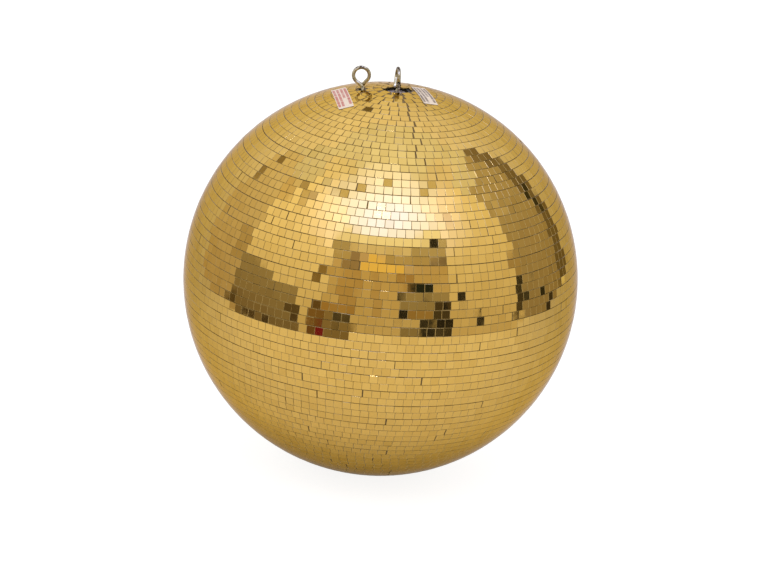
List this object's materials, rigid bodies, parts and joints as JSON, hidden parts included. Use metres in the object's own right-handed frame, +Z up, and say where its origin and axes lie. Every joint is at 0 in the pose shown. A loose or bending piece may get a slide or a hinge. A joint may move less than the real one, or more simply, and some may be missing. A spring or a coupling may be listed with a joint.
{
  "type": "mirror ball",
  "caption": "Gold mirror ball: hollow sphere tiled with small glass squares, hung by a wire eye on its axis, with a second safety eye beside it.",
  "frame": {"origin": "inside top of the hanging eye's ring, where a hook bears", "axes": "+Z up along the ball's spin axis; -Y is the side that the safety eye's ring faces"},
  "size_m": [0.5, 0.5, 0.5264],
  "materials": {
    "gold_mirror": "gold-tinted mirror glass",
    "core_plastic": "dark olive-brown, matt, under the glue",
    "eye_steel": "yellowish zinc plate, scuffed",
    "washer_steel": "grey zinc plate",
    "label_paper": "matt paper with plain printed bars"
  },
  "bodies": {
    "main_eye": {"main_eye_bolt": "eye_steel", "main_thrust_washer": "washer_steel", "main_lock_nut": "eye_steel"},
    "ball": {"core_upper_shell": "core_plastic", "core_lower_shell": "core_plastic", "mirror_band_01": "gold_mirror", "mirror_band_02": "gold_mirror", "mirror_band_03": "gold_mirror", "mirror_band_04": "gold_mirror", "mirror_band_05": "gold_mirror", "mirror_band_06": "gold_mirror", "mirror_band_07": "gold_mirror", "mirror_band_08": "gold_mirror", "mirror_band_09": "gold_mirror", "mirror_band_10": "gold_mirror", "mirror_band_11": "gold_mirror", "mirror_band_12": "gold_mirror", "mirror_band_13": "gold_mirror", "mirror_band_14": "gold_mirror", "mirror_band_15": "gold_mirror", "mirror_band_16": "gold_mirror", "mirror_band_17": "gold_mirror", "mirror_band_18": "gold_mirror", "lower_pole_tile": "gold_mirror", "pole_washer": "washer_steel", "main_backing_plate": "washer_steel", "safety_backing_washer": "washer_steel", "left_paper_label": "label_paper", "right_paper_label": "label_paper"},
    "safety_eye": {"safety_eye_bolt": "eye_steel", "safety_lock_nut": "eye_steel"}
  },
  "joints": [
    {"name": "ball_spin", "type": "hinge", "parent": "main_eye", "child": "ball", "pos_m": [0, 0, 0], "axis": [0, 0, 1], "continuous": true},
    {"name": "safety_eye_turn", "type": "hinge", "parent": "ball", "child": "safety_eye", "pos_m": [0, 0, -0.2725], "axis": [-0.1681, -0.0118, 0.9857], "continuous": true}
  ]
}
